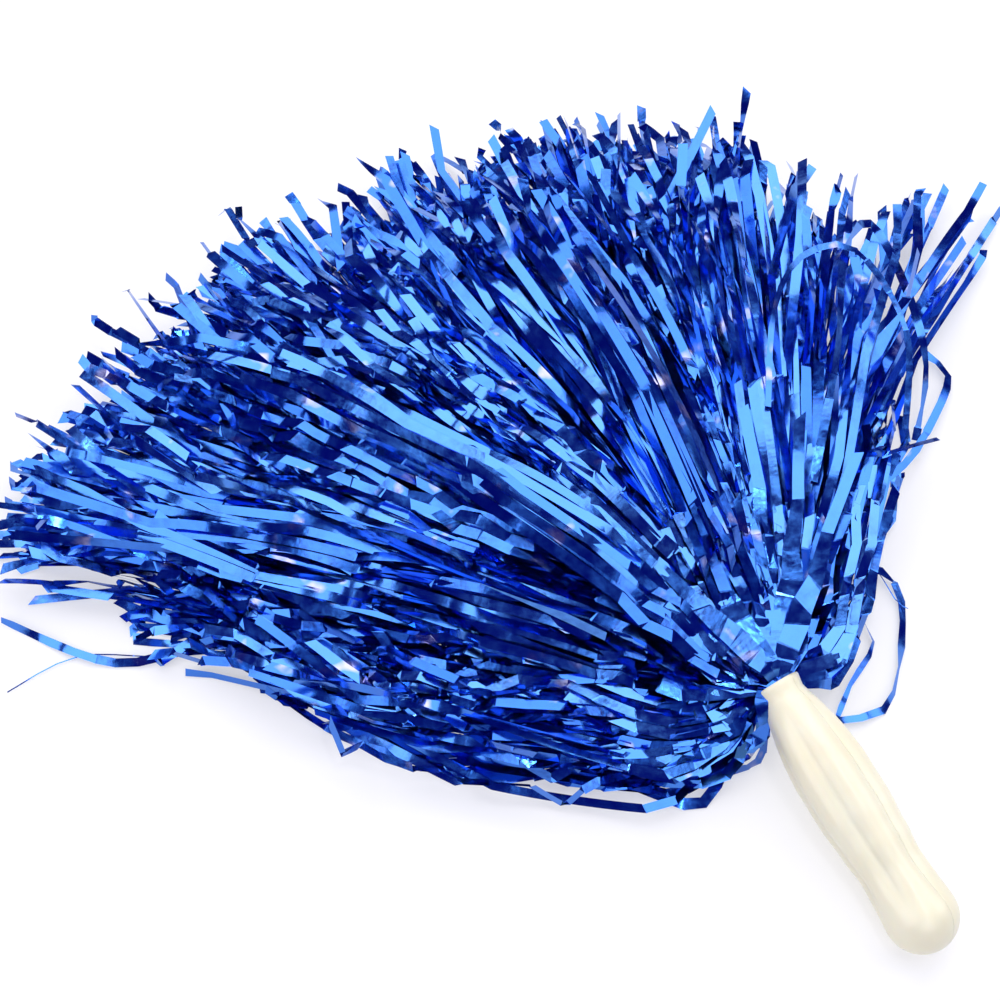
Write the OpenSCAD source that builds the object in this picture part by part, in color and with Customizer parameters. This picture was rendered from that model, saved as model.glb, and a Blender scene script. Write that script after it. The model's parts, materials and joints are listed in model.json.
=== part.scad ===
// Cheer pom pom on a baton grip, lying on a table with its foil fanned out.
// Frame: +Z up, +Y from the grip's mouth along the middle of the fan, +X to the fan's right.
// The origin is under the middle of the whole object, on the surface that it lies on.
// The foil nodes are plain solids for the room that each loose sheaf of strands takes up.

/* [Grip] */
// Length of the grip from its mouth to its rounded end
grip_length = 112; // [105:1:130]
// Radius of the flared lip round the mouth
lip_r = 9.2; // [8.8:0.1:9.6]
// Radius of the neck just behind the lip
neck_r = 8.4; // [8.2:0.1:8.7]
// Radius of the belly that fills the palm
belly_r = 14.7; // [13.5:0.1:16]
// Radius of the waist in front of the end bulb
waist_r = 12.6; // [11.8:0.1:13.2]
// Radius of the end bulb
bulb_r = 13.8; // [13:0.1:15]
// Number of grooves that part the finger lobes
groove_count = 6; // [4:1:8]
// Depth of each groove
groove_depth = 0.7; // [0.4:0.1:1]
// Width of each groove as an angle round the grip
groove_angle = 7; // [4:1:10]
// Thickness of the moulded wall round the hollow
wall = 2.4; // [2:0.1:3]
// How far the grip slopes down from its mouth to its end
grip_tilt = 10; // [8:1:14]
// Turn of the seam between the half shells about the grip's axis
seam_roll = -30; // [-30:1:30]

/* [Root] */
// Radius of the rolled film headers inside the neck
roll_r = 4.6; // [4:0.1:4.7]
// Length of the roll inside the neck
roll_length = 34; // [30:1:36]
// Length of the roll that shows in front of the mouth
roll_stub = 9; // [6:1:10]
// Width of the tape band round the roll
tape_width = 12; // [8:1:13]
// Thickness of the wire that ties the roll
wire_d = 0.9; // [0.7:0.1:1]
// Turns of the wire
wire_turns = 3; // [2:1:4]

/* [Foil fan] */
// Reach of the strands at the fan's left edge, from the mouth
reach_left = 310; // [280:1:330]
// Reach of the strands in the middle of the fan
reach_centre = 272; // [250:1:300]
// Reach of the strands at the fan's right edge
reach_right = 240; // [230:1:300]
// Angle across one sheaf
sheaf_angle = 16; // [12:1:17]
// Height of the fan over the table at its thickest
pile_height = 60; // [50:1:70]
// Thickness of the loose crown on top of the fan
crown_height = 13; // [8:1:18]
// Reach of the crown from the mouth
crown_reach = 178; // [150:1:190]
// Reach of the strands that swing round beside the mouth, on the left
side_reach_left = 165; // [120:1:190]
// Reach of the strands that fold right back beside the mouth, on the left
back_reach_left = 104; // [80:1:115]
// Reach of the strands that fold back beside the mouth, on the right
back_reach_right = 76; // [70:1:110]

/* [Hidden] */

// Stations along the grip, from its mouth
neck_s = 0.05 * grip_length;
belly_s = 0.34 * grip_length;
belly_end_s = 0.48 * grip_length;
waist_s = 0.7 * grip_length;
bulb_s = grip_length - bulb_r;
groove_start_s = 0.1 * grip_length;
groove_end_s = 0.8 * grip_length;
groove_fade = 12;
profile_steps = 24;

// Hollow inside the half shells, with webs across it that carry the locating pins
bore_r = 5.3;
pocket_r = 6.4;
pocket_s = 22;
pocket_length = 6;
hollow_s = 37;
web_s = [62, 84];
web_thickness = 3;
pin_r = 1.2;
pin_height = 3;
pin_clearance = 0.1;
pins = [[14, -7.6], [14, 7.6], [web_s[0] + web_thickness / 2, 0], [web_s[1] + web_thickness / 2, 0]];
seam_gap = 0.05;
tape_gap = 0.02;
tape_thickness = 0.5;

// Where the mouth stands: the end bulb rests on the table
mouth_z = bulb_s * sin(grip_tilt) + bulb_r;

// The fan's sheaves, counted from the right (-3) to the left (3)
root_r = 14;
shoulder_r = 80;
rim_split_z = 13;
rim_setback = 6;
layer_gap = 0.4;
sheaf_gap = 1.3;
half_fan = 3.5 * sheaf_angle;
crown_angle = 15;
back_root_r = 20;
side_end_angle = 78;
back_end_angle = 106;

// The box round everything, which puts the origin under its middle
box_left = -reach(3) * sin(half_fan - sheaf_gap / 2);
box_right = reach(-3) * sin(half_fan - sheaf_gap / 2);
box_front = -bulb_s * cos(grip_tilt) - bulb_r;
box_back = max([for (i = [-3:3]) reach(i) * cos(nearest_angle(abs(i)))]);

function ease(u) = (1 - cos(180 * u)) / 2;

function grip_r(s) =
    s < neck_s ? lip_r + (neck_r - lip_r) * ease(s / neck_s)
    : s < belly_s ? neck_r + (belly_r - neck_r) * sin(90 * (s - neck_s) / (belly_s - neck_s))
    : s < belly_end_s ? belly_r
    : s < waist_s ? belly_r + (waist_r - belly_r) * ease((s - belly_end_s) / (waist_s - belly_end_s))
    : waist_r + (bulb_r - waist_r) * ease((s - waist_s) / (bulb_s - waist_s));

// How deep a groove is at a station, as a share of its full depth
function groove_share(s) =
    ease(max(0, min(1, (s - groove_start_s) / groove_fade, (groove_end_s - s) / groove_fade)));

function stations(from, to) = [for (i = [0:profile_steps]) from + (to - from) * i / profile_steps];

function reach(i) =
    reach_centre + ((i > 0 ? reach_left : reach_right) - reach_centre) * abs(i) / 3;

// The angle from +Y to the nearer side of a sheaf
function nearest_angle(i) = i == 0 ? 0 : (i - 0.5) * sheaf_angle + sheaf_gap / 2;

// Outlines of the foil layers, as [distance from the mouth's upright axis, height]
function floor_line(r_end) = [[r_end, 3], [r_end - 8, 0], [52, 0], [30, mouth_z - 21], [root_r, mouth_z - 8]];
function split_z(i, r) = mouth_z + 1 - (mouth_z - rim_split_z) * (r - shoulder_r) / (reach(i) - shoulder_r);
function split_line(i, r_end, raised) =
    [[root_r, mouth_z - 1 + raised], [shoulder_r, mouth_z + 1 + raised], [r_end, split_z(i, r_end) + raised]];
function top_line(r_end) =
    [[r_end, 24], [218, pile_height * 0.74], [150, pile_height * 0.93], [85, pile_height],
     [38, mouth_z + 19], [root_r, mouth_z + 7]];
function crown_line() =
    let (low = layer_gap, high = crown_height)
    [[root_r, mouth_z + 7 + low], [38, mouth_z + 19 + low], [85, pile_height + low],
     [150, pile_height * 0.93 + low], [crown_reach, pile_height * 0.86 + low],
     [crown_reach, pile_height * 0.86 + high / 2], [150, pile_height * 0.93 + high],
     [85, pile_height + high], [38, mouth_z + 19 + high * 0.7], [root_r, mouth_z + 10]];
function back_line(r_end) =
    [[back_root_r, mouth_z - 10], [36, 4], [48, 0], [r_end - 6, 0], [r_end, 5], [r_end, 16],
     [r_end - 18, 34], [44, mouth_z + 15], [back_root_r, mouth_z + 8]];

// Puts the mouth's middle on the row frame's axes
module at_mouth() {
    translate([-(box_left + box_right) / 2, -(box_front + box_back) / 2, mouth_z]) children();
}

// Turns the grip's own axis, +Z from the mouth to the end, into its place on the table
module in_grip() {
    at_mouth() rotate([90 + grip_tilt, 0, 0]) rotate(seam_roll) children();
}

// A slice of foil between two angles, counted from +Y towards the fan's left
module slice(from, to, outline) {
    translate([0, 0, -mouth_z])
        rotate(90 + from + sheaf_gap / 2)
            rotate_extrude(angle = to - from - sheaf_gap, $fn = 120) polygon(outline);
}

module grip_outside() {
    cap = [for (t = [12:12:84]) [bulb_r * cos(t), bulb_s + bulb_r * sin(t)]];
    side = [for (s = stations(0, bulb_s)) [grip_r(s), s]];
    rotate_extrude($fn = 96) polygon(concat([[0, 0]], side, cap, [[0, grip_length]]));
}

module groove() {
    floor_edge = [for (s = stations(groove_start_s - 2, groove_end_s + 2))
        [grip_r(s) + 0.3 - (groove_depth + 0.3) * groove_share(s), s]];
    rotate(-groove_angle / 2)
        rotate_extrude(angle = groove_angle, $fn = 96)
            polygon(concat(floor_edge, [[belly_r + 4, groove_end_s + 2], [belly_r + 4, groove_start_s - 2]]));
}

module grip_hollow() {
    end_r = bulb_r - wall;
    cap = [for (t = [15:15:75]) [end_r * cos(t), bulb_s + end_r * sin(t)]];
    side = [for (s = stations(hollow_s, bulb_s)) [grip_r(s) - wall - groove_depth, s]];
    difference() {
        rotate_extrude($fn = 96)
            polygon(concat([[0, hollow_s]], side, cap, [[0, bulb_s + end_r]]));
        for (s = web_s) translate([0, 0, s]) cylinder(r = belly_r, h = web_thickness);
    }
    translate([0, 0, -1]) cylinder(r = bore_r, h = hollow_s + 2, $fn = 64);
    translate([0, 0, pocket_s]) cylinder(r = pocket_r, h = pocket_length, $fn = 64);
}

// One half of the grip, on the side of the seam that side points to
module half_shell(side) {
    reach_out = belly_r + 5;
    difference() {
        grip_outside();
        for (i = [0:groove_count - 1]) rotate((i + 0.5) * 360 / groove_count) groove();
        grip_hollow();
        translate([side > 0 ? -2 * reach_out : -seam_gap, -reach_out, -1])
            cube([2 * reach_out + seam_gap, 2 * reach_out, grip_length + 2]);
    }
}

module pin_at(place, radius, height) {
    translate([0, place[1], place[0]]) rotate([0, 90, 0]) cylinder(r = radius, h = height, $fn = 32);
}

module handle_shell_left() {
    color("ivory") in_grip() {
        half_shell(-1);
        for (p = pins) translate([-2, 0, 0]) pin_at(p, pin_r, pin_height + 2);
    }
}

module handle_shell_right() {
    color("ivory") in_grip() difference() {
        half_shell(1);
        for (p = pins) translate([-1, 0, 0]) pin_at(p, pin_r + pin_clearance, pin_height + 1.4);
    }
}

module foil_root_roll() {
    color("mediumblue") in_grip() {
        cylinder(r = roll_r, h = roll_length, $fn = 64);
        translate([0, 0, -roll_stub]) cylinder(r1 = roll_r + 2.2, r2 = roll_r, h = roll_stub, $fn = 64);
    }
}

module root_tape_band() {
    color("whitesmoke") in_grip() translate([0, 0, pocket_s - tape_width - 2]) difference() {
        cylinder(r = roll_r + tape_gap + tape_thickness, h = tape_width, $fn = 64);
        translate([0, 0, -1]) cylinder(r = roll_r + tape_gap, h = tape_width + 2, $fn = 64);
    }
}

module tie_wire() {
    ring_r = roll_r + tape_gap + wire_d / 2;
    pitch = wire_d * 0.9;
    color("silver") in_grip() translate([0, 0, pocket_s + pocket_length / 2]) rotate_extrude($fn = 64)
        for (i = [0:wire_turns - 1])
            translate([ring_r, (i - (wire_turns - 1) / 2) * pitch]) circle(d = wire_d, $fn = 24);
}

module under_sheaf(i) {
    r_end = reach(i);
    color("navy") at_mouth() slice((i - 0.5) * sheaf_angle, (i + 0.5) * sheaf_angle,
        concat(floor_line(r_end), split_line(i, r_end, 0)));
}

module over_sheaf(i) {
    r_end = reach(i) - rim_setback;
    color("royalblue") at_mouth() slice((i - 0.5) * sheaf_angle, (i + 0.5) * sheaf_angle,
        concat(split_line(i, r_end, layer_gap), top_line(r_end)));
}

module crown_sheaf(i) {
    color("dodgerblue") at_mouth() slice((i - 1) * crown_angle, i * crown_angle, crown_line());
}

module side_sheaf_left() {
    color("blue") at_mouth() slice(half_fan, side_end_angle, back_line(side_reach_left));
}

module back_sheaf_left() {
    color("blue") at_mouth() slice(side_end_angle, back_end_angle, back_line(back_reach_left));
}

module back_sheaf_right() {
    color("blue") at_mouth() slice(-back_end_angle, -half_fan, back_line(back_reach_right));
}

handle_shell_left();
handle_shell_right();
foil_root_roll();
root_tape_band();
tie_wire();
under_sheaf(3);  // under_sheaf_left_edge
under_sheaf(2);  // under_sheaf_left_outer
under_sheaf(1);  // under_sheaf_left_inner
under_sheaf(0);  // under_sheaf_centre
under_sheaf(-1);  // under_sheaf_right_inner
under_sheaf(-2);  // under_sheaf_right_outer
under_sheaf(-3);  // under_sheaf_right_edge
over_sheaf(3);  // over_sheaf_left_edge
over_sheaf(2);  // over_sheaf_left_outer
over_sheaf(1);  // over_sheaf_left_inner
over_sheaf(0);  // over_sheaf_centre
over_sheaf(-1);  // over_sheaf_right_inner
over_sheaf(-2);  // over_sheaf_right_outer
over_sheaf(-3);  // over_sheaf_right_edge
crown_sheaf(2);  // crown_sheaf_left_outer
crown_sheaf(1);  // crown_sheaf_left_inner
crown_sheaf(0);  // crown_sheaf_right_inner
crown_sheaf(-1);  // crown_sheaf_right_outer
side_sheaf_left();
back_sheaf_left();
back_sheaf_right();
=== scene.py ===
"""Cheer pom pom: an ivory baton grip with a fan of metallic blue foil strands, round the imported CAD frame.

The foil is worked out in millimetres from the point on the table under the grip's mouth, and the grip in
millimetres along its own axis. Both are turned into the row frame's metres when a mesh is made.
"""

import json
import math

import bmesh
import bpy
import numpy as np
from mathutils import Matrix, Vector


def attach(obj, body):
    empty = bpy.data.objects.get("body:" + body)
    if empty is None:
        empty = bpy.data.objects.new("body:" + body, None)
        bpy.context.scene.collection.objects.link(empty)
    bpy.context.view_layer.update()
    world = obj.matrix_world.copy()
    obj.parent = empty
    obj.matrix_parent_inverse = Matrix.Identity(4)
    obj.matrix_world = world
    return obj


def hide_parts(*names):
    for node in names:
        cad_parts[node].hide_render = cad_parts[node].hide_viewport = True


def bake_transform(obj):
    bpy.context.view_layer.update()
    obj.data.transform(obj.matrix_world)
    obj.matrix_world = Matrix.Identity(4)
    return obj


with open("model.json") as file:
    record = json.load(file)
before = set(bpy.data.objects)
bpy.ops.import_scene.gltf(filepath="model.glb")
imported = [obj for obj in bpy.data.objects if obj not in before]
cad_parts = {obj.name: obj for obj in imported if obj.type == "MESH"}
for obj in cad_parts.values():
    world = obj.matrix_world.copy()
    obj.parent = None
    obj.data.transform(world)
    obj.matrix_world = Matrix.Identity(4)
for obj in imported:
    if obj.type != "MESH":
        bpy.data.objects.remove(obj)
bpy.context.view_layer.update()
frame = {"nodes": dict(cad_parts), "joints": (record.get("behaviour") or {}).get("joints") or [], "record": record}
rng = np.random.default_rng(20261117)

MM = 0.001
RECORD = frame["record"]
MOUNTS = {m["name"]: m for m in RECORD["mounts"]}
MOUTH = Vector(next(j["pos_m"] for j in frame["joints"] if j["name"] == "foil_flop"))
GRIP_AXIS = Vector(MOUNTS["hand_grip"]["axis"]).normalized()
MOUTH_Z = MOUTH.z / MM


# ---------------------------------------------------------------- camera, floor and light

CAMERA_AZIMUTH = -31.2
CAMERA_ELEVATION = 65.0
CAMERA_DISTANCE = 0.82
CAMERA_LENS = 79.8
MOUTH_RIGHT_OF_CENTRE = 0.102
MOUTH_BELOW_CENTRE = 0.068
FLOOR_HALF = 30.0
FAN_MIDDLE = Vector((0, 0.02, 0.03))


def camera_axes(azimuth, elevation):
    """The camera's right, up and backward directions."""
    a, e = math.radians(azimuth), math.radians(elevation)
    back = Vector((math.sin(a) * math.cos(e), -math.cos(a) * math.cos(e), math.sin(e)))
    right = Vector((math.cos(a), math.sin(a), 0))
    return right, back.cross(right), back


def make_camera():
    right, up, back = camera_axes(CAMERA_AZIMUTH, CAMERA_ELEVATION)
    aim = MOUTH - right * MOUTH_RIGHT_OF_CENTRE + up * MOUTH_BELOW_CENTRE
    data = bpy.data.cameras.new("camera")
    data.lens = CAMERA_LENS
    data.sensor_width = 36.0
    camera = bpy.data.objects.new("camera", data)
    bpy.context.collection.objects.link(camera)
    turn = Matrix((right, up, back)).transposed().to_4x4()
    camera.matrix_world = Matrix.Translation(aim + back * CAMERA_DISTANCE) @ turn
    bpy.context.scene.camera = camera


def make_floor():
    corners = [(x * FLOOR_HALF, y * FLOOR_HALF, 0) for x, y in ((-1, -1), (1, -1), (1, 1), (-1, 1))]
    mesh = bpy.data.meshes.new("floor")
    mesh.from_pydata(corners, [], [(0, 1, 2, 3)])
    floor = bpy.data.objects.new("floor", mesh)
    bpy.context.collection.objects.link(floor)
    material = bpy.data.materials.new("floor")
    material.use_nodes = True
    shader = material.node_tree.nodes["Principled BSDF"]
    shader.inputs["Base Color"].default_value = (0.5, 0.495, 0.49, 1)
    shader.inputs["Roughness"].default_value = 0.9
    shader.inputs["Specular IOR Level"].default_value = 0.1
    shader.inputs["Emission Color"].default_value = (1, 1, 1, 1)
    shader.inputs["Emission Strength"].default_value = 0.5
    mesh.materials.append(material)


def area_light(name, azimuth, elevation, distance, size, radiance, colour=(1, 1, 1)):
    """A square softbox that faces the middle of the fan."""
    _, _, back = camera_axes(azimuth, elevation)
    data = bpy.data.lights.new(name, "AREA")
    data.shape = "SQUARE"
    data.size = size
    data.energy = radiance * math.pi * size * size
    data.color = colour
    light = bpy.data.objects.new(name, data)
    light.location = FAN_MIDDLE + back * distance
    light.rotation_mode = "QUATERNION"
    light.rotation_quaternion = back.to_track_quat("Z", "Y")
    bpy.context.collection.objects.link(light)


def make_light():
    """Softboxes all round, dark blue surroundings for the foil to mirror, and a pale backdrop to see."""
    world = bpy.data.worlds.new("studio")
    world.use_nodes = True
    nodes, links = world.node_tree.nodes, world.node_tree.links
    nodes["Background"].inputs["Color"].default_value = (0.009, 0.012, 0.19, 1)
    backdrop = nodes.new("ShaderNodeBackground")
    backdrop.inputs["Color"].default_value = (0.86, 0.87, 0.89, 1)
    seen = nodes.new("ShaderNodeLightPath")
    mix = nodes.new("ShaderNodeMixShader")
    links.new(seen.outputs["Is Camera Ray"], mix.inputs["Fac"])
    links.new(nodes["Background"].outputs["Background"], mix.inputs[1])
    links.new(backdrop.outputs["Background"], mix.inputs[2])
    links.new(mix.outputs["Shader"], nodes["World Output"].inputs["Surface"])
    bpy.context.scene.world = world
    bpy.context.scene.view_settings.view_transform = "Standard"
    for name, azimuth, elevation, distance, size, radiance in (
            ("key", 148, 60, 1.5, 1.85, 2.5), ("left", -92, 38, 1.6, 1.1, 2.3),
            ("right", 68, 35, 1.6, 0.9, 2.3), ("front", -12, 42, 1.6, 0.9, 2.3)):
        area_light(name, azimuth, elevation, distance, size, radiance)
    area_light("sparkle", 13, 78, 2.0, 0.15, 40)


# ---------------------------------------------------------------- materials


class Nodes:
    """A short way to build a material's node tree."""

    def __init__(self, name):
        self.material = bpy.data.materials.new(name)
        self.material.use_nodes = True
        self.tree = self.material.node_tree
        self.shader = self.tree.nodes["Principled BSDF"]

    def add(self, kind, values=(), **settings):
        node = self.tree.nodes.new(kind)
        for key, value in settings.items():
            setattr(node, key, value)
        for key, value in dict(values).items():
            node.inputs[key].default_value = value
        return node

    def link(self, source, output, target, socket):
        self.tree.links.new(source.outputs[output], target.inputs[socket])

    def set(self, **values):
        for key, value in values.items():
            self.shader.inputs[key.replace("_", " ")].default_value = value

    def ramp(self, stops):
        node = self.tree.nodes.new("ShaderNodeValToRGB")
        elements = node.color_ramp.elements
        while len(elements) < len(stops):
            elements.new(0.5)
        for element, (place, colour) in zip(elements, stops):
            element.position = place
            element.color = (*colour, 1)
        return node

    def noise(self, scale, detail=2.0, stretch=(1, 1, 1), attribute=None):
        """Noise over the object, or over a vector attribute of its points, stretched along the axes."""
        if attribute:
            source = self.add("ShaderNodeAttribute", attribute_name=attribute)
        else:
            source = self.add("ShaderNodeTexCoord")
        mapping = self.add("ShaderNodeMapping", {"Scale": stretch})
        noise = self.add("ShaderNodeTexNoise", {"Scale": scale, "Detail": detail, "Roughness": 0.55})
        self.link(source, "Vector" if attribute else "Object", mapping, "Vector")
        self.link(mapping, "Vector", noise, "Vector")
        return noise

    def spread(self, source, output, low, high, to_low, to_high, target, socket):
        """Links a source to a socket, with the range from low to high stretched to another range."""
        limits = {"From Min": low, "From Max": high, "To Min": to_low, "To Max": to_high}
        node = self.add("ShaderNodeMapRange", limits)
        self.link(source, output, node, "Value")
        self.link(node, "Result", target, socket)

    def bump(self, source, strength, distance, under=None):
        node = self.add("ShaderNodeBump", {"Strength": strength, "Distance": distance})
        self.link(source, "Fac", node, "Height")
        if under:
            self.link(under, "Normal", node, "Normal")
        return node


def foil_material():
    """Metallised blue film: a mirror tinted by its lacquer, with pale spots of painted highlight, and finely
    creased.
    """
    n = Nodes("blue_foil")
    n.set(Metallic=1.0, Coat_Weight=0.45, Coat_Roughness=0.08, Coat_IOR=1.45)
    tone = n.add("ShaderNodeAttribute", attribute_name="strand_tone")
    deep, middle, light = (0.018, 0.115, 0.57), (0.045, 0.195, 0.69), (0.085, 0.27, 0.76)
    colours = n.ramp([(0.0, deep), (0.5, middle), (1.0, light)])
    n.link(tone, "Fac", colours, "Fac")
    cloud = n.noise(190.0, 3.0)
    # Pale lilac spots mixed into the base colour are painted highlight: they stand in for whitish glints on the
    # mirrored facets.
    pale = n.add("ShaderNodeMix", data_type="RGBA")
    pale.inputs["B"].default_value = (0.46, 0.42, 0.64, 1)
    painted_glint_noise = n.noise(75.0, 2.0, stretch=(1, 1, 0.6))
    n.spread(painted_glint_noise, "Fac", 0.64, 0.74, 0.0, 0.8, pale, "Factor")
    n.link(colours, "Color", pale, "A")
    n.link(pale, "Result", n.shader, "Base Color")
    n.spread(cloud, "Fac", 0.3, 0.7, 0.1, 0.26, n.shader, "Roughness")
    crinkle = n.noise(1.0, 2.0, stretch=(0.3, 0.07, 13.0), attribute="strand_place")
    soft = n.noise(300.0, 1.0)
    low = n.bump(soft, 0.16, 0.0004)
    top = n.bump(crinkle, 0.09, 0.0005, under=low)
    n.link(top, "Normal", n.shader, "Normal")
    return n.material


def plastic_material():
    """Ivory moulded plastic: satin, faintly clouded, with the fine orange peel of a polished mould."""
    n = Nodes("ivory_plastic")
    n.set(Roughness=0.34, Subsurface_Weight=0.2, Subsurface_Scale=0.003, Subsurface_Radius=(1.0, 0.7, 0.4))
    n.set(Coat_Weight=0.15, Coat_Roughness=0.2)
    cloud = n.noise(38.0, 3.0)
    colours = n.ramp([(0.3, (0.9, 0.83, 0.57)), (0.7, (0.93, 0.875, 0.64))])
    n.link(cloud, "Fac", colours, "Fac")
    n.link(colours, "Color", n.shader, "Base Color")
    scuff = n.noise(240.0, 4.0)
    n.spread(scuff, "Fac", 0.3, 0.7, 0.28, 0.42, n.shader, "Roughness")
    n.link(n.bump(scuff, 0.12, 0.0002), "Normal", n.shader, "Normal")
    return n.material


def tape_material():
    """Clear tape over blue film."""
    n = Nodes("clear_tape")
    n.set(Roughness=0.2, Coat_Weight=0.5, Coat_Roughness=0.1)
    cloud = n.noise(260.0, 3.0)
    colours = n.ramp([(0.3, (0.16, 0.27, 0.62)), (0.7, (0.34, 0.46, 0.78))])
    n.link(cloud, "Fac", colours, "Fac")
    n.link(colours, "Color", n.shader, "Base Color")
    n.link(n.bump(cloud, 0.3, 0.0002), "Normal", n.shader, "Normal")
    return n.material


def wire_material():
    """Drawn steel wire, with fine scratches."""
    n = Nodes("steel_wire")
    n.set(Metallic=1.0)
    scratch = n.noise(900.0, 3.0)
    colours = n.ramp([(0.3, (0.42, 0.42, 0.43)), (0.7, (0.58, 0.58, 0.58))])
    n.link(scratch, "Fac", colours, "Fac")
    n.link(colours, "Color", n.shader, "Base Color")
    n.spread(scratch, "Fac", 0.3, 0.7, 0.22, 0.4, n.shader, "Roughness")
    n.link(n.bump(scratch, 0.2, 0.0001), "Normal", n.shader, "Normal")
    return n.material


# ---------------------------------------------------------------- grip

GRIP_LENGTH = 112.0
LIP_R = 9.2
NECK_R = 8.4
BELLY_R = 14.7
WAIST_R = 12.6
BULB_R = 13.8
BULB_S = GRIP_LENGTH - BULB_R
BORE_R = 5.3
WALL = 2.4
LOBE_DEPTH = 1.6
SEAM_ROLL = 30.0
SEAM_GAP = 0.03
SEAM_EDGE = 0.014
SEAM_WEAR = 0.16
POLE_R = 0.03
GRIP_PROFILE = (
    (0.0, LIP_R), (5.6, NECK_R), (12.0, 10.4), (20.0, 12.4), (29.0, 14.0), (38.1, BELLY_R),
    (53.8, BELLY_R), (66.0, 13.75), (78.4, WAIST_R), (88.0, 13.2), (BULB_S, BULB_R))


def grip_axes():
    """The grip's own axes: across the seam, along the seam, and from the mouth to the end."""
    top = (Vector((0, 0, 1)) - GRIP_AXIS * GRIP_AXIS.z).normalized()
    right = top.cross(GRIP_AXIS)
    seam = top * math.cos(math.radians(SEAM_ROLL)) + right * math.sin(math.radians(SEAM_ROLL))
    return seam.cross(GRIP_AXIS), seam, GRIP_AXIS


def in_grip(points):
    """Points in the grip's own millimetres, in the row frame's metres."""
    turn = np.array([tuple(axis) for axis in grip_axes()])
    return np.array(points) @ turn * MM + np.array(tuple(MOUTH))


def add_mesh(name, points, faces, material, smooth_below=35):
    mesh = bpy.data.meshes.new(name)
    mesh.from_pydata(np.asarray(points).tolist(), [], faces)
    mesh.polygons.foreach_set("use_smooth", np.ones(len(mesh.polygons), bool))
    mesh.set_sharp_from_angle(angle=math.radians(smooth_below))
    mesh.materials.append(material)
    piece = bpy.data.objects.new(name, mesh)
    bpy.context.collection.objects.link(piece)
    return piece


def smoothstep(x):
    x = min(1.0, max(0.0, x))
    return x * x * (3 - 2 * x)


def grip_radius(s):
    """Radius of the grip at a distance from its mouth: eased or straight from one station to the next."""
    for (s0, r0), (s1, r1) in zip(GRIP_PROFILE, GRIP_PROFILE[1:]):
        if s <= s1:
            eased = r0 > 13 or s1 <= 5.6
            u = (s - s0) / (s1 - s0)
            return r0 + (r1 - r0) * (smoothstep(u) if eased else u)
    return math.sqrt(max(0.0, BULB_R ** 2 - (s - BULB_S) ** 2))


def lobe(s, angle):
    """How far the surface sinks between the finger lobes, which meet every 60 degrees from 30."""
    fade = smoothstep((s - 7) / 22) * smoothstep((100 - s) / 20)
    valley = 1 - math.sqrt(math.sin(3 * (angle - math.radians(30))) ** 2 + 0.006)
    return LOBE_DEPTH * fade * max(0.0, valley)


def grip_outline():
    """Half of the wall's section, out and back: distance from the axis, station, and 1 on the outside."""
    lip = [(BORE_R, 1.6, 0), (BORE_R + 0.25, 0.7, 0), (BORE_R + 0.9, 0.15, 0), (BORE_R + 1.8, 0.0, 0),
           (LIP_R - 0.8, 0.0, 1), (LIP_R - 0.25, 0.25, 1)]
    body = [(grip_radius(s), s, 1) for s in np.linspace(0.9, BULB_S, 70)]
    cap = [(BULB_R * math.cos(t), BULB_S + BULB_R * math.sin(t), 1)
           for t in np.radians(np.arange(6, 90, 6))]
    inside = [(POLE_R, GRIP_LENGTH - WALL, 0)]
    inside += [((BULB_R - WALL) * math.cos(t), BULB_S + (BULB_R - WALL) * math.sin(t), 0)
               for t in np.radians(np.arange(75, 0, -15))]
    inside += [(max(BORE_R, grip_radius(s) - WALL), s, 0) for s in np.linspace(BULB_S, 40, 16)]
    return lip + body + cap + [(POLE_R, GRIP_LENGTH, 1)] + inside + [(BORE_R, 36, 0)]


def half_shell(name, start, material):
    """One moulded half of the grip, from a starting angle on the seam to the seam's other side."""
    outline = grip_outline()
    side = 1 if math.cos(start + math.pi / 2) > 0 else -1
    middle = np.linspace(start + 2.5 * SEAM_EDGE, start + math.pi - 2.5 * SEAM_EDGE, 72)
    angles = [start, start + SEAM_EDGE, *middle, start + math.pi - SEAM_EDGE, start + math.pi]
    points, faces = [], []
    for j, angle in enumerate(angles):
        worn = SEAM_WEAR if j in (0, len(angles) - 1) else 0.0
        for r, s, outside in outline:
            radius = r - outside * (lobe(s, angle) + worn * min(1.0, r / 3))
            x = max(SEAM_GAP, abs(radius * math.cos(angle))) * side
            points.append((x, radius * math.sin(angle), s))
    count = len(outline)
    for j in range(len(angles) - 1):
        for i in range(count):
            a, b = j * count + i, j * count + (i + 1) % count
            faces.append((a, b, b + count, a + count))
    faces.append(tuple(range(count)))
    faces.append(tuple(reversed(range((len(angles) - 1) * count, len(angles) * count))))
    piece = add_mesh(name, in_grip(points), faces, material, smooth_below=50)
    turn_faces_out(piece)
    return piece


def turn_faces_out(piece):
    """Joins the points that meet at the grip's end, and turns every face outwards."""
    work = bmesh.new()
    work.from_mesh(piece.data)
    bmesh.ops.remove_doubles(work, verts=work.verts, dist=2e-6)
    bmesh.ops.recalc_face_normals(work, faces=work.faces)
    work.to_mesh(piece.data)
    work.free()


ROLL_R = 4.6
ROLL_CORE = 0.6
ROLL_SLACK = 0.75
ROLL_TURNS = 7
ROLL_FRONT = -11.0
ROLL_BACK = 34.0


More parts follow.
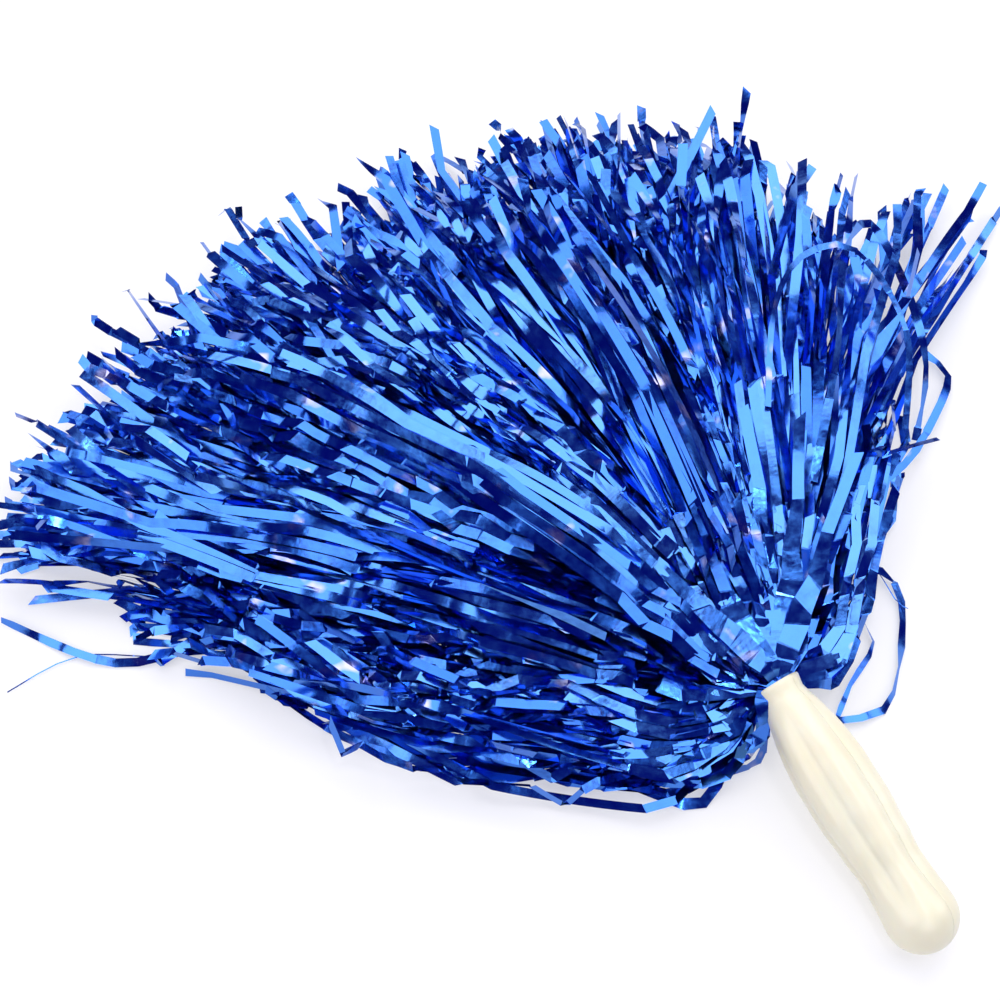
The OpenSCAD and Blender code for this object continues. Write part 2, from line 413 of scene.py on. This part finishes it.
def make_root_roll(material):
    """The uncut headers of the film, rolled up in the neck and opening out in front of the mouth."""
    around = 36 * ROLL_TURNS
    stations = np.concatenate([np.linspace(ROLL_FRONT, 2, 9), np.linspace(5, ROLL_BACK, 6)])
    points = []
    for s in stations:
        flare = max(0.0, -s / -ROLL_FRONT) ** 1.5
        for i in range(around + 1):
            angle = 2 * math.pi * ROLL_TURNS * i / around
            radius = ROLL_CORE + (ROLL_R - ROLL_SLACK) * i / around
            flute = 1 + flare * (0.5 + 0.12 * math.sin(9 * angle + 2.0 * math.sin(angle)))
            points.append((radius * flute * math.cos(angle), radius * flute * math.sin(angle), s))
    faces = []
    for j in range(len(stations) - 1):
        for i in range(around):
            a = j * (around + 1) + i
            faces.append((a, a + 1, a + around + 2, a + around + 1))
    roll = add_mesh("film_roll", in_grip(points), faces, material, smooth_below=60)
    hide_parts("foil_root_roll")
    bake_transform(roll)


def make_handle(plastic, film, tape, wire):
    for side, start in (("left", math.pi / 2), ("right", -math.pi / 2)):
        shell = half_shell("grip_shell_" + side, start, plastic)
        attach(shell, "handle")
        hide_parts("handle_shell_" + side)
    make_root_roll(film)
    for node, material in (("root_tape_band", tape), ("tie_wire", wire)):
        mesh = frame["nodes"][node].data
        mesh.materials.clear()
        mesh.materials.append(material)


# ---------------------------------------------------------------- strands

STRAND_WIDTH = 3.9
RIDGE_HEIGHT = 8.0
RIDGE_SCALE = 2.2
SHEAF_ANGLE = 16.0
CROWN_ANGLE = 15
PILE_HEIGHT = 58.0
CROWN_HEIGHT = 11.0
FAN_LEFT = 47.0
FAN_RIGHT = -51.0
LEFT_SIDE = 47.5
RIGHT_SIDE = -50
TOP_LIMIT = 81.0
MOUTH_SPREAD = 0.3
CLOSENESS = 0.97
LOWEST = 0.35
HALF_CREASE = 0.35
FACET_LENGTH = 7
SHORTEST_STEP = 1.5
PLEATED_UP_TO = 58
RIM_SHARE = 0.8
# How far from the mouth strands begin. The crown's and the sides' clear the grip's lip when they turn.
ROOT = 3.0
CROWN_ROOT = 10.0
SIDE_ROOT = 7.5
BACK_LIMIT = 297.0
RIGHT_LIMIT = 205.0
GATHER = 0.07
# Angle from +Y, positive to the left, and how far the fan reaches there: tufts and the gaps between them
OUTLINE = (
    (-56, 215), (-52, 256), (-49, 250), (-45, 206), (-40, 224), (-36, 240), (-31, 250), (-26, 258),
    (-22, 256), (-18, 266), (-14, 266), (-11, 273), (-7, 264), (-3, 276), (1, 282), (6, 278), (8, 250),
    (11, 272), (14, 294), (18, 300), (21, 270), (25, 292), (27, 272), (29, 302), (31, 318), (33, 280),
    (35, 296), (37, 314), (39, 283), (42, 318), (45, 318), (47, 300), (49, 276), (51, 240), (54, 210))


def reach(azimuth):
    """How far the fan reaches from the mouth, at an angle from +Y that is positive to the left."""
    angles, distances = zip(*OUTLINE)
    return float(np.interp(azimuth, angles, distances))


def longest(azimuth):
    """How far a strand may go before it passes the limit at the back or on the right."""
    a = math.radians(azimuth)
    return min(BACK_LIMIT / max(0.1, math.cos(a)), RIGHT_LIMIT / max(0.1, -math.sin(a)))


# Each ridge has a phase, a rate over the azimuth, a drift over the distance and a height.
RIDGES = [(rng.uniform(0, 360), rng.uniform(6, 24), rng.uniform(-1.0, 1.0), rng.uniform(0.4, 1.0))
          for _ in range(7)]


def ridge(azimuth, r):
    """A slow rise and fall of the pile over its azimuth, from -1 to 1 or so."""
    total = sum(height * math.sin(math.radians(phase + azimuth * rate + r * drift))
                for phase, rate, drift, height in RIDGES)
    return total / RIDGE_SCALE


def pile_height(r, azimuth, level, end):
    """Height in the pile at a distance from the mouth: level 0 is the table, 1 the top, more the crown."""
    low = np.interp(r, [0, 14, 30, 52, end], [MOUTH_Z - 3.5, MOUTH_Z - 8, 10, 1.5, 1])
    tops = [MOUTH_Z + 3.5, MOUTH_Z + 5, MOUTH_Z + 8, MOUTH_Z + 16,
            PILE_HEIGHT, PILE_HEIGHT * 0.93, PILE_HEIGHT * 0.74, 22]
    high = np.interp(r, [0, 10, 26, 50, 95, 150, 218, max(end, 230)], tops)
    edge = 1 - 0.5 * smoothstep((abs(azimuth) - 34) / 24) * min(1.0, r / 40)
    rise = RIDGE_HEIGHT * ridge(azimuth, r) * np.interp(r, [10, 60, 200, 300], [0, 1, 1, 0.4])
    crown = max(0.0, level - 1) * CROWN_HEIGHT * np.interp(r, [0, 30, 90, 200, 260], [0, 0.3, 1, 0.8, 0.3])
    return low + max(0.0, (high - low) * edge + rise) * min(level, 1.0) + crown


class Clump:
    """What the strands cut from one stretch of film share: where they crease, and how each stretch lies."""

    def __init__(self, length, pleated, tumble=1.0, root=ROOT):
        self.root = root
        self.stations = [0.0]
        self.sides = [0.0]
        self.rises = [0.0]
        self.skews = [0.0]
        self.crisp = [True]
        self.rolls = [rng.normal(0, 25)]
        fold = rng.choice((-1, 1))
        while self.stations[-1] < length + 30:
            s = self.stations[-1]
            near_rim = s > length * RIM_SHARE
            if s < PLEATED_UP_TO or pleated:
                step = rng.uniform(6, 14) if s else rng.uniform(12, 24)
                fold = -fold
                rise = fold * rng.uniform(0.2, 1.4)
                side = rng.normal(0, 0.5)
                crisp = True
                roll = rng.normal(0, 15 * tumble)
            elif near_rim:
                step = rng.uniform(10, 32)
                rise, side = rng.normal(0, 2.0), rng.normal(0, 1.7)
                crisp = rng.random() < 0.6
                roll = rng.normal(0, 20) if rng.random() < 0.6 else rng.uniform(-60, 60)
            else:
                step = rng.uniform(16, 62)
                rise, side = rng.normal(0, 1.1), rng.normal(0, 1.3)
                crisp = rng.random() < 0.3
                roll = rng.normal(0, 9) if rng.random() < 0.52 else rng.uniform(-110, 110)
            self.stations.append(s + step)
            self.sides.append(side)
            self.rises.append(rise)
            self.rolls.append(roll)
            self.skews.append(rng.uniform(-1.6, 1.6))
            self.crisp.append(crisp)


class StrandMesh:
    """Gathers strands into one mesh."""

    def __init__(self, name):
        self.name = name
        self.points = []
        self.faces = []
        self.tones = []
        self.places = []
        self.creased = []
        self.lengths = []
        self.widths = []

    def add(self, centres, acrosses, skews, creases, widths, tone):
        """One strand through its centre points, in millimetres, with the direction across it at each."""
        centres = np.array(centres)
        acrosses = np.array(acrosses)
        along = np.gradient(centres, axis=0)
        along /= np.linalg.norm(along, axis=1)[:, None] + 1e-9
        acrosses = acrosses - along * np.sum(acrosses * along, axis=1)[:, None]
        acrosses /= np.linalg.norm(acrosses, axis=1)[:, None] + 1e-9
        shift = along * np.array(skews)[:, None]
        half = np.array(widths)[:, None] / 2
        left = centres - acrosses * half - shift
        right = centres + acrosses * half + shift
        first = len(self.points)
        pairs = np.stack([left, right], axis=1).reshape(-1, 3)
        pairs[:, 2] = np.clip(pairs[:, 2], LOWEST, TOP_LIMIT)
        self.points.extend(pairs)
        count = len(centres)
        for k in range(first, first + 2 * count - 2, 2):
            self.faces.append((k, k + 1, k + 3, k + 2))
        self.tones.extend([tone] * (2 * count))
        steps = np.linalg.norm(np.diff(centres, axis=0), axis=1)
        run = np.concatenate([[0.0], np.cumsum(steps)])
        mark = rng.uniform(0, 100)
        for distance, width in zip(run, widths):
            self.places.append((distance, -width / 2, mark))
            self.places.append((distance, width / 2, mark))
        self.creased.extend(creases)
        self.lengths.append(float(run[-1]))
        self.widths.append(float(np.mean(widths)))

    def build(self, material):
        mesh = bpy.data.meshes.new(self.name)
        points = np.array(self.points) * MM + np.array((MOUTH.x, MOUTH.y, 0))
        mesh.from_pydata(points.tolist(), [], self.faces)
        mesh.polygons.foreach_set("use_smooth", np.ones(len(mesh.polygons), bool))
        ends = np.zeros(2 * len(mesh.edges), np.int64)
        mesh.edges.foreach_get("vertices", ends)
        ends = ends.reshape(-1, 2)
        low, high = ends.min(axis=1), ends.max(axis=1)
        across = (high - low == 1) & (low % 2 == 0)
        sharp = across & np.array(self.creased)[low // 2]
        mesh.attributes.new("sharp_edge", "BOOLEAN", "EDGE").data.foreach_set("value", sharp)
        tones = np.array(self.tones, np.float32)
        mesh.attributes.new("strand_tone", "FLOAT", "POINT").data.foreach_set("value", tones)
        places = np.array(self.places, np.float32).ravel()
        mesh.attributes.new("strand_place", "FLOAT_VECTOR", "POINT").data.foreach_set("vector", places)
        mesh.materials.append(material)
        piece = bpy.data.objects.new(self.name, mesh)
        bpy.context.collection.objects.link(piece)
        return piece


def lay_path(target, path, rolls, crisp, skews, widths, tone):
    """Lays one strand of flat film along a path, creased at its crisp stations and twisting elsewhere."""
    path = [np.array(p, float) for p in path]
    centres, acrosses, turns, creases, spans = [], [], [], [], []
    last = len(path) - 2
    for k in range(last + 1):
        start, end = path[k], path[k + 1]
        step = np.linalg.norm(end - start)
        if step < SHORTEST_STEP:
            continue
        forward = (end - start) / step
        flat = np.cross((0, 0, 1), forward)
        flat = flat / (np.linalg.norm(flat) + 1e-9) * -1
        lift = np.cross(flat, forward)
        from_crease = crisp[k] or not centres
        to_crease = crisp[k + 1] or k == last
        roll_from = rolls[k + 1] if from_crease else rolls[k]
        pieces = max(1, round(step / FACET_LENGTH))
        bow = step * math.radians(rng.normal(0, 4)) / 2 * (step > 12)
        for i in range(0 if from_crease else 1, pieces + 1):
            share = i / pieces
            place = step * share
            if i == 0:
                place = min(HALF_CREASE, step * 0.2)
            elif i == pieces and to_crease and k != last:
                place = step - min(HALF_CREASE, step * 0.2)
            angle = math.radians(roll_from + (rolls[k + 1] - roll_from) * smoothstep(share))
            centres.append(start + forward * place + lift * (4 * share * (1 - share) * bow))
            acrosses.append(flat * math.cos(angle) + lift * math.sin(angle))
            edge = i == 0 and from_crease or i == pieces and to_crease
            turns.append(skews[k if i == 0 else k + 1] if edge else 0.0)
            creases.append(bool(edge))
            spans.append(widths[k] + (widths[k + 1] - widths[k]) * share)
    if len(centres) > 2:
        target.add(centres, acrosses, turns, creases, spans, tone)


def polar(azimuth, r):
    """The point on the table at a distance and an angle from +Y, and the direction across it."""
    a = math.radians(azimuth)
    return np.array((-math.sin(a) * r, math.cos(a) * r, 0.0)), np.array((-math.cos(a), -math.sin(a), 0.0))


def lay_strand(target, clump, track, height, end, offset, arch, spread, width, tone, wild):
    """One strand of a clump: it follows the clump's course and creases, with some wandering of its own."""
    path, rolls, crisp, skews, widths = [], [], [], [], []
    own_side, own_rise, own_roll, slip = 0.0, 0.0, rng.normal(0, 7), rng.normal(0, 2.4)
    end = min(end, longest(track(end)))
    loose_from = end * rng.uniform(0.74, 0.9)
    splay = math.tan(math.radians(min(38, max(-38, rng.normal(0, 8 if wild < 2.5 else 24)))))
    lift = math.tan(math.radians(rng.normal(4, 9)))
    for k, station in enumerate(clump.stations):
        r = min(max(station + slip * min(1.0, station / 20), clump.root), end)
        ground, side = polar(track(r), r)
        loose = smoothstep((r - 30) / 70)
        own_side += rng.normal(0, 0.3 + 0.7 * loose) * wild
        own_rise += rng.normal(0, 0.2 + 0.6 * loose) * wild
        beyond = max(0.0, r - loose_from)
        opened = (1 + (spread - 1) * loose) * (1 + 0.6 * smoothstep((r / end - 0.7) / 0.3))
        gathered = min(1.0, max(MOUTH_SPREAD, r / 15))
        across = offset * gathered * opened + clump.sides[k] + own_side + beyond * splay
        z = height(r, track(r)) + clump.rises[k] + own_rise + beyond * lift - arch * arch * 3.2 * loose
        path.append(ground + side * across + np.array((0, 0, max(z, 0.8))))
        rolls.append(clump.rolls[k] + own_roll + rng.normal(0, 1.5 + 13 * loose) * wild + arch * 30 * loose)
        crisp.append(clump.crisp[k])
        skews.append(clump.skews[k])
        widths.append(width * (1 + 0.4 * (1 - smoothstep((r - 18) / 26))))
        if station >= end:
            break
    lay_path(target, path, rolls, crisp, skews, widths, tone)


def fill_clump(target, track, height, end, most=7, pleated=0.12, opening=1.0, trim=None, tumble=1.0,
               root=ROOT):
    """A clump of strands side by side, cut from the same stretch of film."""
    clump = Clump(end, rng.random() < pleated, tumble, root)
    count = int(rng.integers(3, most + 1))
    tone = rng.uniform(0.1, 0.9)
    spread = rng.uniform(0.62, 1.15) * opening
    arch_sign = rng.choice((-1, 1), p=(0.2, 0.8))
    for q in range(count):
        place = q - (count - 1) / 2
        arch = place / max(1.0, (count - 1) / 2) * arch_sign
        wild = (2.6 if rng.random() < 0.1 else 1.0) * tumble
        longer = rng.random() < 0.1
        own_end = end * (1 + rng.uniform(0.0, 0.07)) if longer else end * (1 - abs(rng.normal(0, 0.035)))
        if trim:
            own_azimuth = track(end) + math.degrees(place * STRAND_WIDTH * 1.5 * spread / end)
            own_end = min(own_end, reach(own_azimuth) * trim * rng.uniform(0.96, 1.05))
        lay_strand(target, clump, track, height, own_end, place * STRAND_WIDTH * CLOSENESS, arch, spread,
                   STRAND_WIDTH * rng.uniform(0.88, 1.08), tone + rng.normal(0, 0.07), wild)


def fill_sheaf(target, azimuths, levels, clumps, trim=1.0, wander=2.3, most=7, root=ROOT):
    """Clumps over a range of azimuths and heights, gathered into tufts. Lower ones come first."""
    for level in np.sort(rng.uniform(*levels, clumps)):
        azimuth = rng.uniform(*azimuths)
        drift = rng.normal(0, wander) + GATHER * (reach(azimuth + 2) - reach(azimuth - 2))
        limit = reach(azimuth + drift) * trim
        ragged = 0.04 + 0.2 * smoothstep((-azimuth - 19) / 30)
        end = limit * (1 - min(0.5, abs(rng.normal(0, ragged))))
        fill_clump(target, lambda r: azimuth - drift + drift * min(r, 240) / 120,
                   lambda r, a: pile_height(r, a, level, limit), end, most=most,
                   opening=1 + 0.9 * smoothstep((-azimuth - 21) / 22), trim=trim, root=root)


def make_flap(target):
    """Broad panels of film that lie flat over the mouth before the slits begin."""
    panels = ((-52, 8, 20), (-39, -3, 30), (-26, 3, 34), (-13, -5, 28), (3, 5, 24), (20, -3, 20))
    for azimuth, tilt, length in panels:
        path, widths = [], []
        for r, rise, width in (
                (1.0, 4.6, 6.5), (6.0, 9.8, 7.5), (length * 0.55, 11.5, 8.6), (length, 13.5, 9.0),
                (length + 6, 16.0, 8.4), (length + 16, 18.5, 6.5), (length + 34, 25.0, 4.6),
                (length + 66, 31.0, 4.2)):
            ground, _ = polar(azimuth + rng.normal(0, 1.0), r)
            path.append(ground + np.array((0, 0, MOUTH_Z + rise + rng.normal(0, 0.2))))
            widths.append(width)
        rolls = [tilt + rng.normal(0, 3) for _ in path]
        skews = list(rng.normal(0, 0.8, len(path)))
        lay_path(target, path, rolls, [True] * len(path), skews, widths, 0.6)


def side_course(share):
    """The course of a strand that leaves the mouth on the left and bends back into the fan's edge."""
    sway, phase = rng.normal(0, 0.14), rng.uniform(0, 6)

    def course(r):
        turn = np.interp(r, [9, 19, 48, 65, 103, 148, 177, 217, 300], [38, 80, 64, 48, 33, 17, 11, 4, 2])
        return LEFT_SIDE + share * (1 + sway * math.sin(r / 22 + phase) * min(1.0, r / 60)) * turn

    return course


def right_course(share):
    """The course of a strand that leaves the mouth on the right and bends back into the fan's edge."""

    def course(r):
        return RIGHT_SIDE - share * np.interp(r, [9, 19, 28, 46, 80, 148, 230], [32, 62, 60, 34, 14, 5, 0])

    return course


def side_height(level):
    """Height of the strands beside the mouth, which lie low and have the same height at every azimuth."""

    def height(r, azimuth):
        high = np.interp(r, [0, 16, 36, 70, 160, 300], [MOUTH_Z, 27, 26, 30, 24, 14])
        low = np.interp(r, [0, 16, 36], [MOUTH_Z - 5, 14, 1.5])
        return level * high + (1 - level) * low

    return height


def finish_sheaf(sheaf, material, *nodes):
    """Makes the sheaf's mesh, which stands for the nodes."""
    piece = sheaf.build(material)
    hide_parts(*nodes)
    return piece


def turn_by_share(piece):
    """Bakes the sheaf's placement into its mesh."""
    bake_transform(piece)


def bend_at_mouth(piece):
    """Bakes the sheaf's placement into its mesh."""
    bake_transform(piece)


# Name, place in the fan, the bodies on its inner and outer side, fullness, and most strands in a clump.
SHEAVES = (
    ("left_edge", 3, "fan_left", "fan_left_edge", 1.1, 7),
    ("left_outer", 2, "fan_centre", "fan_left", 1.0, 7),
    ("left_inner", 1, None, "fan_centre", 1.0, 7),
    ("centre", 0, None, "fan_centre", 1.0, 7),
    ("right_inner", -1, None, "fan_centre", 1.0, 7),
    ("right_outer", -2, "fan_centre", "fan_right", 0.78, 6),
    ("right_edge", -3, "fan_right", "fan_right_edge", 0.6, 4))
# Name, range of levels, and clumps in a full part of a sheaf
LAYERS = (("under", (0.0, 0.55), 4), ("over", (0.45, 1.0), 7))
SHEAF_PARTS = 3
PART_OVERLAP = 0.1
CROWN_CLUMPS = 7


def make_fan(material):
    """The fan's sheaves, each in parts over their own share of the spread, and the crown on top."""
    for side, index, inner, outer, fullness, most in SHEAVES:
        low = max(FAN_RIGHT, (index - 0.5) * SHEAF_ANGLE)
        part_angle = (min(FAN_LEFT, (index + 0.5) * SHEAF_ANGLE) - low) / SHEAF_PARTS
        fullness *= part_angle * SHEAF_PARTS / SHEAF_ANGLE
        for layer, levels, clumps in LAYERS:
            for part in range(SHEAF_PARTS):
                place = part if index >= 0 else SHEAF_PARTS - 1 - part
                start = low + place * part_angle
                azimuths = (max(FAN_RIGHT, start - PART_OVERLAP * part_angle),
                            min(FAN_LEFT, start + (1 + PART_OVERLAP) * part_angle))
                sheaf = StrandMesh(f"foil_{layer}_{side}_{part + 1}")
                fill_sheaf(sheaf, azimuths, levels, round(clumps * fullness), most=most)
                if (layer, side, part) == ("over", "centre", 1):
                    make_flap(sheaf)
                piece = finish_sheaf(sheaf, material, f"{layer}_sheaf_{side}")
                if inner:
                    turn_by_share(piece)
                else:
                    bend_at_mouth(piece)
    for side, low in (("left_outer", 15), ("left_inner", 0), ("right_inner", -15), ("right_outer", -30)):
        sheaf = StrandMesh("foil_crown_" + side)
        fill_sheaf(sheaf, (low, low + CROWN_ANGLE), (1.0, 1.9), CROWN_CLUMPS, trim=0.86, wander=4,
                   root=CROWN_ROOT)
        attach(finish_sheaf(sheaf, material, "crown_sheaf_" + side), "crown")


# Each sheaf's loose strands: points in millimetres, and a width
STRAYS = {
    "side_sheaf_left": (
        (((-45, 68, 12), (-112, 91, 5), (-163, 131, 3), (-204, 146, 2), (-234, 185, 2)), 3.6),
        (((-47, 48, 12), (-99, 38, 4), (-134, 62, 2), (-154, 96, 2), (-163, 134, 3), (-175, 153, 6)), 3.2),
        (((-54, 79, 14), (-130, 113, 4), (-182, 136, 2), (-215, 156, 1.5), (-245, 157, 1.5)), 0.5),
    ),
    "back_sheaf_left": (
        (((-8.5, -2, 24), (-18, -4, 8), (-41, -18, 2), (-59, -1, 2), (-83, 20, 3), (-111, 37, 3),
          (-134, 78, 5)), 4.6),
        (((-6.5, -3.5, 22), (-12, -11, 9), (-24, -12, 5), (-45, 0, 5), (-74, 29, 8)), 5.0),
        (((-7.5, -2, 26), (-13, -12, 13), (-21, -10, 12), (-37, 3, 12), (-60, 29, 16)), 4.4),
        (((-2, 2, 35), (-9, -4, 34.5), (-11, -10, 27), (-18, -10, 14), (-34, 8, 10)), 6.0),
        (((-5, -1.5, 20), (-11, -13, 4), (-19, -15, 2), (-34, -9, 2), (-52, 11, 4)), 5.0),
    ),
    "back_sheaf_right": (
        (((6, 1.5, 26), (32, 14, 18), (56, 30, 8), (70, 24, 4), (70, 10, 2), (53, -12, 2), (38, -23, 2),
          (21, -18, 3)), 3.6),
        (((6, 1.5, 24), (28, 11, 14), (49, 19, 5), (51, 2, 2), (33, -8, 2), (19, -18, 2)), 2.4),
        (((53, 56, 46), (87, 92, 60), (113, 125, 62), (135, 136, 52), (138, 110, 34), (133, 85, 16),
          (114, 63, 6)), 3.4),
        (((51, 86, 60), (74, 117, 66), (96, 131, 67), (117, 124, 64), (117, 88, 56), (97, 57, 44)), 2.6),
        (((84, 62, 20), (127, 91, 14), (159, 108, 8), (186, 122, 6), (210, 134, 4)), 3.8),
        (((73, 52, 14), (103, 56, 8), (127, 68, 5), (144, 81, 3), (142, 94, 3)), 3.4),
        (((40, 24, 16), (59, 35, 10), (68, 30, 6), (68, 12, 3), (70, 6, 3)), 0.5),
    ),
}


def make_sides(material):
    """The sheaves that swing round or fold back beside the mouth, with the loose strands near them."""
    for side, course, shares, clumps, end, body in (
            ("side_sheaf_left", side_course, (0.0, 0.5), 24, 262, "fan_left_edge"),
            ("back_sheaf_left", side_course, (0.3, 0.76), 22, 225, "fan_left_edge"),
            ("back_sheaf_right", right_course, (0.1, 0.95), 14, 150, "fan_right_edge")):
        sheaf = StrandMesh("foil_" + side)
        for _ in range(clumps):
            track = course(rng.uniform(*shares))
            height = side_height(rng.uniform(0, 1))
            fill_clump(sheaf, track, height, end * rng.uniform(0.7, 1), most=4, pleated=0.5, tumble=1.9,
                       root=SIDE_ROOT)
        for points, width in STRAYS.get(side, ()):
            lay_stray(sheaf, points, width)
        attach(finish_sheaf(sheaf, material, side), body)


def lay_stray(target, points, width):
    """A loose strand along given points: smooth, slowly twisting, and creased now and then."""
    points = np.array(points, float)
    path = []
    for k in range(len(points) - 1):
        before, start = points[max(k - 1, 0)], points[k]
        end, after = points[k + 1], points[min(k + 2, len(points) - 1)]
        count = max(2, round(float(np.linalg.norm(end - start)) / 8))
        for i in range(count):
            t = i / count
            square = 2 * before - 5 * start + 4 * end - after
            cube = 3 * start - before - 3 * end + after
            path.append(0.5 * (2 * start + (end - before) * t + square * t ** 2 + cube * t ** 3))
    path.append(points[-1])
    rolls = [rng.normal(0, 30)]
    for _ in path[1:]:
        rolls.append(rolls[-1] * 0.8 + rng.normal(0, 22))
    crisp = [rng.random() < 0.25 for _ in path]
    skews = [0.0] * len(path)
    lay_path(target, path, rolls, crisp, skews, [width] * len(path), rng.uniform(0.2, 0.8))


# ---------------------------------------------------------------- put together

make_camera()
make_floor()
make_light()
foil = foil_material()
make_handle(plastic_material(), foil, tape_material(), wire_material())
make_fan(foil)
make_sides(foil)
